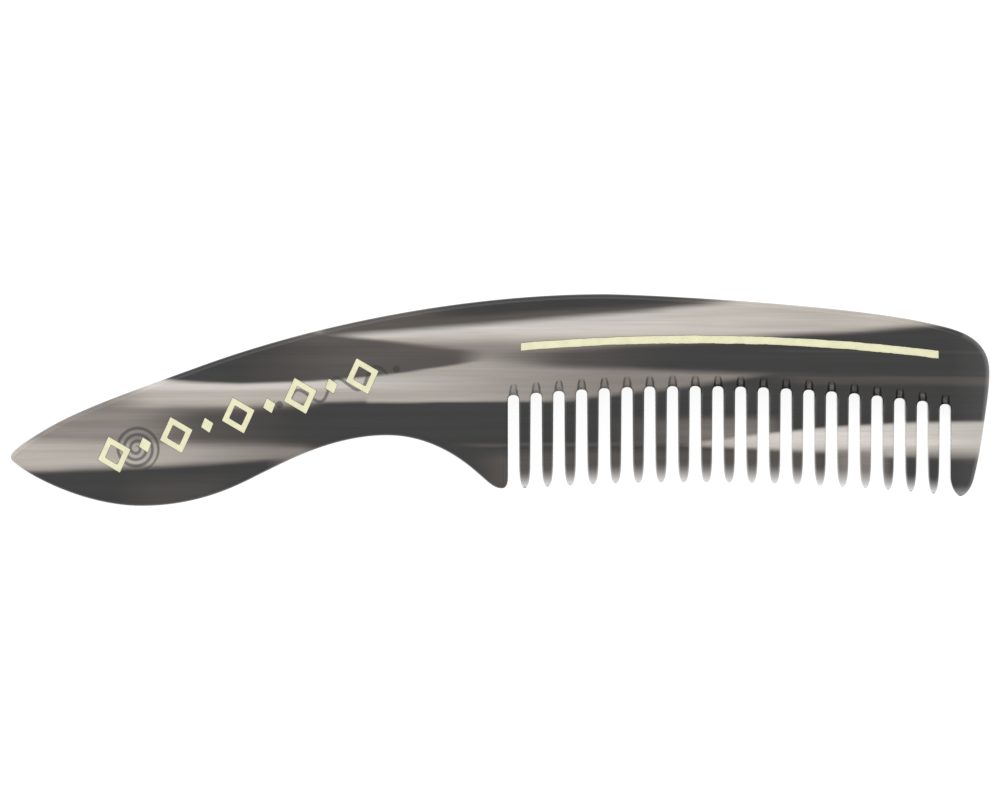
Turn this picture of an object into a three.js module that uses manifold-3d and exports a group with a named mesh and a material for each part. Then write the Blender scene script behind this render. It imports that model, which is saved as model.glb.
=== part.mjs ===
// A handled beard comb, sawn from one sheet of marbled cellulose acetate.
//
// The comb lies flat on its back face. X runs along its length, from the handle's tip to the guard
// tooth. Y runs across it, from the teeth to the spine. Z runs out of the front face.
// The origin is under the middle of the comb, on the back face. All lengths are in millimetres.
//
// The real comb is sawn from one sheet, so its teeth are one with its spine. Here a hairline kerf
// parts each tooth from the spine: every tooth is then a named solid of simple form, and the gaps
// between the teeth stay open. The cream fills in the front face and the dark fills in the back
// face are separate pieces, each lying in its own engraved recess.
import * as THREE from "three";
import { mergeVertices } from "three/addons/utils/BufferGeometryUtils.js";
import Module from "manifold-3d";

const wasm = await Module();
wasm.setup();

// The sheet.
const THICKNESS = 4.4;
const MID_PLANE = THICKNESS / 2;
const EDGE_CHAMFER = 0.5;

// The row of teeth. Each gap is one saw cut with a round end.
const GAPS = 20;
const TEETH = GAPS - 1;
const PITCH = 3.83;
const GAP_WIDTH = 1.86;
const GAP_RADIUS = GAP_WIDTH / 2;
const FIRST_GAP_X = 2.27;
const LAST_GAP_X = FIRST_GAP_X + (GAPS - 1) * PITCH;
const SHOULDER_X = FIRST_GAP_X - GAP_RADIUS;
const GUARD_X = LAST_GAP_X + GAP_RADIUS;

// The gap ends, the tooth tips and the cream stripe each follow a bow, whose crown is at BOW_X.
const BOW_X = 32.5;
const ROOT_BOW = { crown: 2.35, radius: 300 };
const TIP_BOW = { crown: -13.95, radius: 450 };
const STRIPE_BOW = { crown: 10.2, radius: 337 };

// One tooth: a bar that thins towards its tip, with chamfered edges and a bullet-shaped end.
// The chamfer is never more than a share of the tooth's half width.
const TOOTH_ROOT_HALF = { width: (PITCH - GAP_WIDTH) / 2, depth: MID_PLANE - 0.03 };
const TOOTH_END_HALF = { width: 0.92, depth: 1.25 };
const TOOTH_END_LENGTH = 4.5;
const TOOTH_END_STATIONS = [0.15, 0.5, 1.2, 2.5];
const TOOTH_CHAMFER = 0.4;
const TOOTH_CHAMFER_SHARE = 0.45;
const TOOTH_BURIED = 0.7;

// The guard tooth thins from its root to its tip by these shares of the sheet's thickness.
const GUARD_SHARE = { root: 0.98, tip: 0.62 };
const GUARD_BURIED = 2;

// The kerf crosses each tooth just below the round ends of the gaps beside it.
const KERF = 0.06;
const KERF_DROP = 0.1;

// A round file bevels both faces at the end of each gap.
const FILE_RADIUS = 0.78;
const FILE_SLOPE = THREE.MathUtils.degToRad(31);
const FILE_REACH = 1.9;
const FILE_LENGTH = 6;

// Engraving: the recess depth, the fill's own thickness, and the free play round a fill.
const RECESS_DEPTH = 0.34;
const FILL_THICKNESS = 0.27;
const FILL_PLAY = 0.04;
const CUT_PAST_FACE = 1;

// Cream stripe along the spine.
const STRIPE = { from: 3.5, to: 73.9, width: 1.3 };

// Cream row of lozenges along the handle: large open ones with small solid ones between them.
const ROW_START = new THREE.Vector2(-65, -9.2);
const ROW_END = new THREE.Vector2(-23.2, 4);
const ROW_MARKS = 9;
const OPEN_LOZENGE = { halfWidth: 2.9, halfHeight: 3.2, stroke: 0.95 };
const SOLID_LOZENGE = { halfWidth: 1.1, halfHeight: 1.35 };

// Dark line ornament on the back: a volute, a wave, and a dot at each end of the wave.
const LINE_WIDTH = 0.5;
const VOLUTE = { x: -61.2, y: -8.2, outer: 3.7, inner: 0.5, turns: 3 };
const WAVE = { x: -27.3, y: 2.2, length: 17, height: 1.5, periods: 2.5 };
const WAVE_TILT = THREE.MathUtils.degToRad(17);
const DOT_RADIUS = 0.6;
const DOT_SPACING = 10.3;

// Vertices nearer than this are one vertex.
const MERGE_DISTANCE = 1e-4;

// How finely the curves are cut into straight stretches.
const OUTLINE_STEPS = 8;
const ROUND_STEPS = 6;
const TOOTH_SIDES = 8;
const FILE_SIDES = 10;
const DOT_SIDES = 12;
const STRIPE_STEPS = 24;
const VOLUTE_STEPS = 66;
const WAVE_STEPS = 40;

// The outline from the handle's tip over the spine to the guard tooth's root.
// Each row is one cubic curve: two handles, then the knot that it ends on.
const HANDLE_TIP = [-82.5, -9.6];
const SPINE_CURVES = [
  [-82.5, -9.0, -81.6, -8.2, -80.5, -7.4],
  [-73.3, -2.5, -68.4, -0.75, -50.0, 5.9],
  [-28.9, 13.5, -3.8, 17.85, 17.5, 17.85],
  [24.0, 17.85, 59.4, 16.05, 72.5, 12.9],
  [76.6, 12.0, 82.5, 10.9, 82.5, 4.7],
  [82.5, 2.6, 82.2, 0.4, 81.9, -1.7],
];
// The guard tooth, from its root on the outside, round its tip, to its inner edge.
const GUARD_CURVES = [
  [81.5, -4.4, 81.1, -8.3, 79.9, -13.2],
  [79.4, -15.1, 78.4, -16.2, 77.65, -16.2],
  [77.0, -16.2, GUARD_X, -14.5, GUARD_X, -12.9],
];
// The shoulder beside the first gap, the finger notch and the belly, back to the handle's tip.
const SHOULDER_LOW_Y = -13.1;
const GRIP_CURVES = [
  [SHOULDER_X, -14.3, 1.0, -14.9, 0.3, -14.9],
  [-1.1, -14.9, -2.0, -13.8, -4.0, -12.1],
  [-7.3, -9.2, -12.5, -5.95, -19.0, -5.95],
  [-28.2, -5.95, -36.3, -10.5, -39.5, -12.0],
  [-42.7, -13.5, -49.5, -17.85, -60.5, -17.85],
  [-68.4, -17.85, -76.7, -14.2, -80.6, -11.5],
  [-81.7, -10.7, -82.5, -10.2, ...HANDLE_TIP],
];

const acetate = new THREE.MeshStandardMaterial({ color: 0x6f6a66, roughness: 0.22, metalness: 0 });
const creamFill = new THREE.MeshStandardMaterial({ color: 0xe6e7bf, roughness: 0.55, metalness: 0 });
const darkFill = new THREE.MeshStandardMaterial({ color: 0x35302e, roughness: 0.5, metalness: 0 });

function bowY(bow, x) {
  return bow.crown - bow.radius + Math.sqrt(bow.radius ** 2 - (x - BOW_X) ** 2);
}

function gapX(index) {
  return FIRST_GAP_X + index * PITCH;
}

// A closed three.js geometry as a solid that can be joined and cut.
function solid(geometry) {
  const bare = geometry.clone();
  bare.deleteAttribute("normal");
  bare.deleteAttribute("uv");
  const merged = mergeVertices(bare, MERGE_DISTANCE);
  return new wasm.Manifold(
    new wasm.Mesh({
      numProp: 3,
      vertProperties: merged.attributes.position.array,
      triVerts: new Uint32Array(merged.index.array),
    }),
  );
}

function geometryOf(made) {
  const mesh = made.getMesh();
  const geometry = new THREE.BufferGeometry();
  geometry.setAttribute("position", new THREE.BufferAttribute(mesh.vertProperties, 3));
  geometry.setIndex(new THREE.BufferAttribute(mesh.triVerts, 1));
  return geometry;
}

function piece(name, geometry, material) {
  const mesh = new THREE.Mesh(geometry, material);
  mesh.name = name;
  return mesh;
}

// A flat shape as a plate of the sheet's thickness, with all its edges chamfered.
function chamferedPlate(shape) {
  const geometry = new THREE.ExtrudeGeometry(shape, {
    depth: THICKNESS - 2 * EDGE_CHAMFER,
    curveSegments: OUTLINE_STEPS,
    bevelThickness: EDGE_CHAMFER,
    bevelSize: EDGE_CHAMFER,
    bevelOffset: -EDGE_CHAMFER,
    bevelSegments: 1,
  });
  return geometry.translate(0, 0, EDGE_CHAMFER);
}

function addCurves(shape, curves) {
  curves.forEach((curve) => shape.bezierCurveTo(...curve));
}

// The handle, the spine and the shoulder, down to the line that the teeth stand on.
function plateShape() {
  const shape = new THREE.Shape().moveTo(...HANDLE_TIP);
  addCurves(shape, SPINE_CURVES);
  for (let index = GAPS - 1; index >= 0; index--) {
    const x = gapX(index);
    const y = bowY(ROOT_BOW, x) - GAP_RADIUS;
    shape.lineTo(x + GAP_RADIUS, y);
    for (let step = 1; step <= ROUND_STEPS; step++) {
      const turn = (Math.PI * step) / ROUND_STEPS;
      shape.lineTo(x + GAP_RADIUS * Math.cos(turn), y + GAP_RADIUS * Math.sin(turn));
    }
  }
  shape.lineTo(SHOULDER_X, SHOULDER_LOW_Y);
  addCurves(shape, GRIP_CURVES);
  return shape;
}

// The guard tooth's outline reaches a little way up into the plate, which it is joined to.
function guardTooth() {
  const root = SPINE_CURVES.at(-1).slice(-2);
  const shape = new THREE.Shape().moveTo(...root);
  addCurves(shape, GUARD_CURVES);
  shape.lineTo(GUARD_X, root[1] + GUARD_BURIED);
  shape.lineTo(root[0], root[1] + GUARD_BURIED);
  const geometry = chamferedPlate(shape);
  const tipY = GUARD_CURVES[1].at(-1);
  const places = geometry.attributes.position;
  for (let i = 0; i < places.count; i++) {
    const down = (root[1] - places.getY(i)) / (root[1] - tipY);
    const share = THREE.MathUtils.lerp(GUARD_SHARE.root, GUARD_SHARE.tip, Math.max(down, 0));
    places.setZ(i, MID_PLANE + (places.getZ(i) - MID_PLANE) * share);
  }
  return geometry;
}

// A tooth's half width and half depth at a distance from its tip.
function toothHalves(fromTip, length) {
  const along = THREE.MathUtils.clamp((fromTip - TOOTH_END_LENGTH) / (length - TOOTH_END_LENGTH), 0, 1);
  const rounding = fromTip < TOOTH_END_LENGTH ? Math.sqrt(1 - (1 - fromTip / TOOTH_END_LENGTH) ** 2) : 1;
  return {
    width: rounding * THREE.MathUtils.lerp(TOOTH_END_HALF.width, TOOTH_ROOT_HALF.width, along),
    depth: rounding * THREE.MathUtils.lerp(TOOTH_END_HALF.depth, TOOTH_ROOT_HALF.depth, along),
  };
}

// An eight-sided lathe form whose rings are pulled out to chamfered rectangles.
function tooth(x) {
  const tipY = bowY(TIP_BOW, x);
  const topY = bowY(ROOT_BOW, x) - GAP_RADIUS + TOOTH_BURIED;
  const length = topY - tipY;
  const stations = [...TOOTH_END_STATIONS, TOOTH_END_LENGTH, length];
  const rings = stations.map((at) => new THREE.Vector2(1, at));
  const profile = [new THREE.Vector2(0, 0), ...rings, new THREE.Vector2(0, length)];
  const geometry = new THREE.LatheGeometry(profile, TOOTH_SIDES, Math.PI / TOOTH_SIDES);
  const places = geometry.attributes.position;
  for (let i = 0; i < places.count; i++) {
    const [side, fromTip, face] = [places.getX(i), places.getY(i), places.getZ(i)];
    const onAxis = Math.hypot(side, face) < MERGE_DISTANCE;
    const half = toothHalves(fromTip, length);
    const chamfer = Math.min(TOOTH_CHAMFER, TOOTH_CHAMFER_SHARE * half.width);
    const isFlank = Math.abs(side) > Math.abs(face);
    const reachX = half.width - (isFlank ? 0 : chamfer);
    const reachZ = half.depth - (isFlank ? chamfer : 0);
    places.setXYZ(
      i,
      x + (onAxis ? 0 : Math.sign(side) * reachX),
      tipY + fromTip,
      MID_PLANE + (onAxis ? 0 : Math.sign(face) * reachZ),
    );
  }
  return geometry;
}

// The round file's path at the end of a gap, on the front face (side 1) or the back face (side -1).
function fileCut(x, side) {
  const geometry = new THREE.CylinderGeometry(FILE_RADIUS, FILE_RADIUS, FILE_LENGTH, FILE_SIDES);
  const entryY = bowY(ROOT_BOW, x) + FILE_REACH;
  const lift = FILE_RADIUS / Math.cos(FILE_SLOPE);
  geometry.rotateX(side * FILE_SLOPE);
  return geometry.translate(x, entryY, MID_PLANE + side * (MID_PLANE + lift));
}

// A flat shape as a plate between two heights.
function plate(shape, low, high) {
  const geometry = new THREE.ExtrudeGeometry(shape, { depth: high - low, bevelEnabled: false });
  return geometry.translate(0, 0, low);
}

// The band between two bows, with a width and with play round it.
function stripeShape(play) {
  const from = STRIPE.from - play;
  const to = STRIPE.to + play;
  const half = STRIPE.width / 2 + play;
  const shape = new THREE.Shape();
  for (let step = 0; step <= STRIPE_STEPS; step++) {
    const x = THREE.MathUtils.lerp(from, to, step / STRIPE_STEPS);
    shape[step ? "lineTo" : "moveTo"](x, bowY(STRIPE_BOW, x) - half);
  }
  for (let step = STRIPE_STEPS; step >= 0; step--) {
    const x = THREE.MathUtils.lerp(from, to, step / STRIPE_STEPS);
    shape.lineTo(x, bowY(STRIPE_BOW, x) + half);
  }
  return shape;
}

// Four corners of a lozenge that is centred on a point and turned by an angle.
function lozengeCorners(centre, tilt, halfWidth, halfHeight) {
  const corners = [
    [halfWidth, 0],
    [0, halfHeight],
    [-halfWidth, 0],
    [0, -halfHeight],
  ];
  const middle = new THREE.Vector2();
  return corners.map(([x, y]) => new THREE.Vector2(x, y).rotateAround(middle, tilt).add(centre));
}

function lozengeShape(centre, tilt, size, play) {
  // Moving a lozenge's sides out by the play moves its corners out by this share of their reach.
  const inset = (size.halfWidth * size.halfHeight) / Math.hypot(size.halfWidth, size.halfHeight);
  const outer = 1 + play / inset;
  const shape = new THREE.Shape(
    lozengeCorners(centre, tilt, size.halfWidth * outer, size.halfHeight * outer),
  );
  if (size.stroke) {
    const inner = 1 - (size.stroke + play) / inset;
    shape.holes.push(
      new THREE.Path(lozengeCorners(centre, tilt, size.halfWidth * inner, size.halfHeight * inner)),
    );
  }
  return shape;
}

// A line of some width through points, closed by square ends.
function lineShape(points, width) {
  const sides = points.map((point, i) => {
    const before = points[Math.max(i - 1, 0)];
    const after = points[Math.min(i + 1, points.length - 1)];
    const across = after.clone().sub(before).normalize().multiplyScalar(width / 2);
    return [
      new THREE.Vector2(point.x + across.y, point.y - across.x),
      new THREE.Vector2(point.x - across.y, point.y + across.x),
    ];
  });
  return new THREE.Shape([...sides.map((s) => s[0]), ...sides.map((s) => s[1]).reverse()]);
}

function volutePoints() {
  return Array.from({ length: VOLUTE_STEPS + 1 }, (_, step) => {
    const share = step / VOLUTE_STEPS;
    const reach = THREE.MathUtils.lerp(VOLUTE.outer, VOLUTE.inner, share);
    const turn = 2 * Math.PI * VOLUTE.turns * share;
    return new THREE.Vector2(VOLUTE.x + reach * Math.cos(turn), VOLUTE.y + reach * Math.sin(turn));
  });
}

function alongWave(along, across) {
  const offset = new THREE.Vector2(along, across).rotateAround(new THREE.Vector2(), WAVE_TILT);
  return offset.add(new THREE.Vector2(WAVE.x, WAVE.y));
}

function wavePoints() {
  return Array.from({ length: WAVE_STEPS + 1 }, (_, step) => {
    const share = step / WAVE_STEPS;
    const height = WAVE.height * Math.sin(2 * Math.PI * WAVE.periods * share);
    return alongWave((share - 0.5) * WAVE.length, height);
  });
}

function dotShape(side, play) {
  const centre = alongWave(side * DOT_SPACING, 0);
  const reach = DOT_RADIUS + play;
  const ring = Array.from({ length: DOT_SIDES }, (_, i) => {
    const turn = (2 * Math.PI * i) / DOT_SIDES;
    return new THREE.Vector2(centre.x + reach * Math.cos(turn), centre.y + reach * Math.sin(turn));
  });
  return new THREE.Shape(ring);
}

// Every fill: its name, its shape with some play round it, and the face that it lies in.
function fills() {
  const row = Array.from({ length: ROW_MARKS }, (_, i) => {
    const open = i % 2 === 0;
    const centre = ROW_START.clone().lerp(ROW_END, i / (ROW_MARKS - 1));
    const tilt = ROW_END.clone().sub(ROW_START).angle();
    const size = open ? OPEN_LOZENGE : SOLID_LOZENGE;
    return {
      name: (open ? "handle_open_lozenge_" : "handle_solid_lozenge_") + (Math.floor(i / 2) + 1),
      shape: (play) => lozengeShape(centre, tilt, size, play),
      front: true,
    };
  });
  return [
    { name: "spine_stripe", shape: stripeShape, front: true },
    ...row,
    { name: "back_volute", shape: (play) => lineShape(volutePoints(), LINE_WIDTH + 2 * play), front: false },
    { name: "back_wave", shape: (play) => lineShape(wavePoints(), LINE_WIDTH + 2 * play), front: false },
    { name: "back_dot_1", shape: (play) => dotShape(-1, play), front: false },
    { name: "back_dot_2", shape: (play) => dotShape(1, play), front: false },
  ];
}

// The recess that a fill lies in, cut a little past the face.
function recess(fill) {
  const low = fill.front ? THICKNESS - RECESS_DEPTH : -CUT_PAST_FACE;
  return plate(fill.shape(FILL_PLAY), low, low + RECESS_DEPTH + CUT_PAST_FACE);
}

function fillPlate(fill) {
  const floor = RECESS_DEPTH - FILL_PLAY / 2;
  const low = fill.front ? THICKNESS - floor : floor - FILL_THICKNESS;
  return plate(fill.shape(0), low, low + FILL_THICKNESS);
}

// The whole comb as one solid, with its file cuts and its recesses.
function wholeComb(allFills) {
  let whole = solid(chamferedPlate(plateShape())).add(solid(guardTooth()));
  for (let index = 0; index < TEETH; index++) {
    whole = whole.add(solid(tooth(gapX(index) + PITCH / 2)));
  }
  for (let index = 0; index < GAPS; index++) {
    whole = whole.subtract(solid(fileCut(gapX(index), 1)));
    whole = whole.subtract(solid(fileCut(gapX(index), -1)));
  }
  for (const fill of allFills) {
    whole = whole.subtract(solid(recess(fill)));
  }
  return whole;
}

// The cell that holds one tooth, from the middle of the gap on its left to that on its right.
// The guard tooth has no gap on its right, so its cell ends past the comb.
function toothCell(index, lift) {
  const left = gapX(index);
  const right = left + (index < TEETH ? PITCH : 2 * PITCH);
  const top = Math.min(bowY(ROOT_BOW, left), bowY(ROOT_BOW, right)) - GAP_RADIUS - KERF_DROP + lift;
  const bottom = TIP_BOW.crown - PITCH;
  const cell = new THREE.BoxGeometry(right - left, top - bottom, 2 * THICKNESS);
  return solid(cell.translate((left + right) / 2, (top + bottom) / 2, MID_PLANE));
}

// The comb parted at the kerfs: the teeth from left to right, the guard tooth, and the rest.
function acetatePieces(allFills) {
  const whole = wholeComb(allFills);
  let rest = whole;
  const pieces = [];
  for (let index = 0; index <= TEETH; index++) {
    const name = index < TEETH ? "tooth_" + String(index + 1).padStart(2, "0") : "guard_tooth";
    pieces.push(piece(name, geometryOf(whole.intersect(toothCell(index, 0))), acetate));
    rest = rest.subtract(toothCell(index, KERF));
  }
  return [piece("handle_and_spine", geometryOf(rest), acetate), ...pieces];
}

const comb = new THREE.Group();
const allFills = fills();
comb.add(...acetatePieces(allFills));
for (const fill of allFills) {
  comb.add(piece(fill.name, fillPlate(fill), fill.front ? creamFill : darkFill));
}

export default comb;
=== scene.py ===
# A handled beard comb of marbled acetate, lying flat on a pale table and seen from straight above.
#
# Shapes are worked out in millimetres in the comb's own frame and scaled to metres at the end.
# X runs from the handle's tip to the guard tooth, Y from the teeth to the spine, and Z out of the
# front face.
import math

import bmesh
import bpy
from mathutils import Matrix, Vector, noise
from mathutils.geometry import interpolate_bezier


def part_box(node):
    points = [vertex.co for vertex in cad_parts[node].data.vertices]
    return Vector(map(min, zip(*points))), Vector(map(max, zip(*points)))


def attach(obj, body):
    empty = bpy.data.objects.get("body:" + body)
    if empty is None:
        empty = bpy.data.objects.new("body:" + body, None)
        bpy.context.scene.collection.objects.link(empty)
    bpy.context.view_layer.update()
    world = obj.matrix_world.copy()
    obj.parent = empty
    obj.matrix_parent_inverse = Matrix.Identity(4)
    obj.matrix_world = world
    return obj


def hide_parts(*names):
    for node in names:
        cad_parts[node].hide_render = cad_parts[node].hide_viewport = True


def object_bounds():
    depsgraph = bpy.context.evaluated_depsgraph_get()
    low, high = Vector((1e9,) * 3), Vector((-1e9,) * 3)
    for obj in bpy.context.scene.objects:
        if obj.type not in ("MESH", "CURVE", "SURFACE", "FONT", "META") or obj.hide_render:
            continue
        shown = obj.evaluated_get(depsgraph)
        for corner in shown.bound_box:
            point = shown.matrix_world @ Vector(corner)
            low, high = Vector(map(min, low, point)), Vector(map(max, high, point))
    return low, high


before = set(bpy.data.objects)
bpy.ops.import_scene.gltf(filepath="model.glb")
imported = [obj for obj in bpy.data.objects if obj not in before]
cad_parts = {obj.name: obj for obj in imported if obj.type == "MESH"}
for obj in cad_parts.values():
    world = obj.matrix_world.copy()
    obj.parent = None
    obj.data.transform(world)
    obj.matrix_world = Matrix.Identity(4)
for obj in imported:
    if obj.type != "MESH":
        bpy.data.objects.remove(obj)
cad_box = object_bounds()

MM = 0.001
TEETH = 19


def node_box_mm(node):
    """A CAD node's low and high corners."""
    low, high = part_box(node)
    return low / MM, high / MM


def tooth_name(index):
    return "guard_tooth" if index == TEETH else f"tooth_{index + 1:02d}"


# ---------------------------------------------------------------- sizes, in millimetres
THICKNESS = node_box_mm("handle_and_spine")[1].z
MID_PLANE = THICKNESS / 2
TOOTH_BOXES = [node_box_mm(tooth_name(index)) for index in range(TEETH + 1)]
TOOTH_CENTRES = [(low.x + high.x) / 2 for low, high in TOOTH_BOXES[:TEETH]]
PITCH = (TOOTH_CENTRES[-1] - TOOTH_CENTRES[0]) / (TEETH - 1)
GUARD_X = TOOTH_BOXES[TEETH][0].x
GAP_WIDTH = 2 * (GUARD_X - TOOTH_CENTRES[-1]) - PITCH
GAP_RADIUS = GAP_WIDTH / 2
SHOULDER_X = TOOTH_CENTRES[0] - PITCH / 2 - GAP_RADIUS
GUARD_TIP_Y = TOOTH_BOXES[TEETH][0].y

# The gap ends and the stripe each follow a bow, whose crown is at BOW_X.
BOW_X = 32.5
ROOT_BOW = {"crown": 2.35, "radius": 300}
STRIPE_BOW = {"crown": 10.2, "radius": 337}
STRIPE_WIDTH = 1.3

# The outline from the handle's tip over the spine to the guard tooth.
# Each row is one cubic curve: two handles, then the knot that it ends on.
HANDLE_TIP = (-82.5, -9.6)
SPINE_CURVES = [
    ((-82.5, -9.0), (-81.6, -8.2), (-80.5, -7.4)),
    ((-73.3, -2.5), (-68.4, -0.75), (-50.0, 5.9)),
    ((-28.9, 13.5), (-3.8, 17.85), (17.5, 17.85)),
    ((24.0, 17.85), (59.4, 16.05), (72.5, 12.9)),
    ((76.6, 12.0), (82.5, 10.9), (82.5, 4.7)),
    ((82.5, 2.6), (82.2, 0.4), (81.9, -1.7)),
]
# The guard tooth's outer side, and the two halves of its round tip.
GUARD_SIDE = ((81.5, -4.4), (81.1, -8.3), (79.9, -13.2))
GUARD_TIP_OUT = ((79.4, -15.1), (78.4, GUARD_TIP_Y), (77.65, GUARD_TIP_Y))
GUARD_TIP_IN = ((77.0, GUARD_TIP_Y), (GUARD_X, -14.5), (GUARD_X, -12.9))
# The shoulder beside the first gap, the finger notch and the belly, back to the handle's tip.
SHOULDER_LOW = (SHOULDER_X, -13.1)
GRIP_CURVES = [
    ((SHOULDER_X, -14.3), (1.0, -14.9), (0.3, -14.9)),
    ((-1.1, -14.9), (-2.0, -13.8), (-4.0, -12.1)),
    ((-7.3, -9.2), (-12.5, -5.95), (-19.0, -5.95)),
    ((-28.2, -5.95), (-36.3, -10.5), (-39.5, -12.0)),
    ((-42.7, -13.5), (-49.5, -17.85), (-60.5, -17.85)),
    ((-68.4, -17.85), (-76.7, -14.2), (-80.6, -11.5)),
    ((-81.7, -10.7), (-82.5, -10.2), HANDLE_TIP),
]

# Teeth: half widths at the root and where the bullet-shaped end begins, and how long that end is on
# the first tooth and on the last. The powers slim the last teeth, and round the tips and gap ends.
ROOT_HALF_WIDTH = (PITCH - GAP_WIDTH) / 2
END_HALF_WIDTH = 0.92
END_LENGTH = 4.0
LAST_END_LENGTH = 5.5
SLIMMING_POWER = 4
END_POWER = 2.3
GAP_END_POWER = 2.5
# How far below the gaps' round ends a tooth's straight sides start.
SIDE_START = 0.35

# How many steps each run of the outline has. The last few at a tip have no line across them.
SIDE_STEPS = 14
END_STEPS = 14
GUARD_SIDE_STEPS = 16
GAP_END_STEPS = 16
BARE_TIP_STEPS = 3
LEAST_CURVE_STEPS = 6
# How far apart the outline's points and the handle's cross lines are.
OUTLINE_STEP = 0.8
HANDLE_RUNG_STEP = 3.1

# Hand polishing: how far the edges are rounded on the body, and in shares of that on the teeth.
# A rounding changes to the next over ROUND_CHANGE; over the gap ends that starts a little higher.
EDGE_ROUND = 0.85
TOOTH_ROUND_SHARE = 0.62
TOOTH_END_ROUND_SHARE = 0.5
TIP_ROUND_SHARE = 0.36
GUARD_ROUND_SHARE = 0.8
ROUND_CHANGE = 3
ROUND_CHANGE_START = 0.3
EDGE_SEGMENTS = 5
SHARP_ANGLE = math.radians(32)
EVEN_SHADING_WEIGHT = 80

# The teeth thin towards their tips, in shares of the sheet's thickness.
THIN_END_SHARE = 0.57
GUARD_END_SHARE = 0.66
TIP_SHARE = 0.2
THINNING_POWER = 1.25
# How far up from a tooth's tip painted light stands for the light coming through, and how much
# farther at its sides.
CLEAR_TIP = 2.7
CLEAR_TIP_AT_ROW_END = 2.3
CLEAR_TIP_POWER = 1.6
ROW_END_POWER = 3
CLEAR_SIDE_REACH = 1.7
# A tooth's sides get a little painted light, from this share of its half width outwards.
CLEAR_SIDE_START = 0.68
CLEAR_SIDE_SOFT = 0.35
CLEAR_SIDE = 0.12
CLEAR_SIDE_AT_TIP = 0.3
# The guard tip's painted light, the dark rim left at the tips by the row's ends, and the painted
# highlight on the comb's rounded right end.
GUARD_CLEAR = 0.4
GUARD_CLEAR_TIP = 1.8
GUARD_CLEAR_POWER = 1.3
DARK_RIM = 0.3
END_RIM_HIGHLIGHT = 0.14

# Round file cuts that slope down into the end of each gap, on both faces.
FILE_RADIUS = 0.74
FILE_SLOPE = math.radians(31)
FILE_REACH = 1.95
FILE_LENGTH = 5.0
FILE_SIDES = 28
# Their painted light: painted shade along their sides and a painted glint in their middle. Off its
# line each part ends past its reach, and along the groove it runs from its foot to its top, as
# heights over the gap's end; each of the three is a range in which it fades. The scuff noise gives
# its strength, from one value to another.
GROOVE_HALF_WIDTH = 0.7
GROOVE_NARROWING = 0.22
GROOVE_SHADE = {
    "reach": (0.06, 0.24),
    "foot": (-0.7, -0.3),
    "top": (1.5, 1.95),
    "scuffs_and_shade": (0.35, 0.6, 0.15, 0.6),
}
GROOVE_GLINT = {
    "reach": (0.25, 0.5),
    "foot": (0.0, 0.15),
    "top": (0.9, 1.4),
    "scuffs_and_shade": (0.38, 0.6, 0.1, 0.4),
}

# Engraved recesses and the fills in them.
RECESS_DEPTH = 0.34
FILL_CLEARANCE = 0.045
FILL_BELOW_FACE = 0.08
FILL_ROUND = 0.04
FILL_FLOOR_PLAY = 0.01
FILL_RIPPLE = 0.012
RIPPLE_SCALE = 0.9
CORNER_ROUND = 0.14
CUT_PAST_FACE = 1
OPEN_LOZENGE = {"half_width": 2.9, "half_height": 3.2, "stroke": 0.95}
SOLID_LOZENGE = {"half_width": 1.1, "half_height": 1.35}
LINE_WIDTH = 0.5
VOLUTE = {"x": -61.2, "y": -8.2, "outer": 3.7, "inner": 0.5, "turns": 3}
WAVE = {"x": -27.3, "y": 2.2, "length": 17, "height": 1.5, "periods": 2.5, "tilt": math.radians(17)}
DOT_RADIUS = 0.6
DOT_SPACING = 10.3
# How an engraver's hand strays along the stripe's edges: a slow drift and a quick shake.
STRIPE_DRIFT = {"along": 0.35, "across": 0.7, "layer": 3, "reach": 0.08}
STRIPE_SHAKE = {"along": 1.6, "across": 0.9, "layer": 7, "reach": 0.06}
# How many steps the fills' outlines have.
STRIPE_STEPS = 150
STRIPE_ROWS = 5
VOLUTE_STEPS = 150
WAVE_STEPS = 120
LINE_ROWS = 2
DOT_SIDES = 28
# Points nearer than this count as one place.
NEAR = 1e-4
# The teeth, the shoulder and the guard are told apart with this much play.
PLAY = 0.01
BACK_FILLS = ["back_volute", "back_wave", "back_dot_1", "back_dot_2"]
FRONT_FILLS = ["spine_stripe"] + [
    f"handle_{kind}_lozenge_{number}"
    for kind, count in (("open", 5), ("solid", 4))
    for number in range(1, count + 1)
]


def bow_y(bow, x):
    """How high a bow is at x."""
    return bow["crown"] - bow["radius"] + math.sqrt(bow["radius"] ** 2 - (x - BOW_X) ** 2)


def gap_x(index):
    """Where a gap's middle is; the first gap is beside the shoulder."""
    return TOOTH_CENTRES[0] - PITCH / 2 + index * PITCH


def lerp(a, b, t):
    return a + (b - a) * t


def clamp01(t):
    return min(max(t, 0.0), 1.0)


def smooth(t):
    t = clamp01(t)
    return t * t * (3 - 2 * t)


def flat(x, y):
    return Vector((x, y, 0))


# ---------------------------------------------------------------- the comb's outline
def along_curve(start, curve, steps):
    """Points along one cubic curve, without the first."""
    corners = [flat(*corner) for corner in (start, *curve)]
    return interpolate_bezier(*corners, steps + 1)[1:]


def along_curves(start, curves):
    """Points along joined cubic curves, about OUTLINE_STEP apart, without the first."""
    points = []
    for curve in curves:
        corners = [flat(*corner) for corner in (start, *curve)]
        length = sum((b - a).length for a, b in zip(corners, corners[1:]))
        points += along_curve(start, curve, max(LEAST_CURVE_STEPS, round(length / OUTLINE_STEP)))
        start = curve[-1]
    return points


def gap_end(index):
    """The round end of one gap, from its right side to its left."""
    points = []
    for step in range(GAP_END_STEPS + 1):
        turn = math.pi * step / GAP_END_STEPS
        across = math.copysign(abs(math.cos(turn)) ** (2 / GAP_END_POWER), math.cos(turn))
        up = math.sin(turn) ** (2 / GAP_END_POWER) if 0 < step < GAP_END_STEPS else 0
        points.append(flat(gap_x(index) + GAP_RADIUS * across, gap_end_y(index) + GAP_RADIUS * up))
    return points


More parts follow.
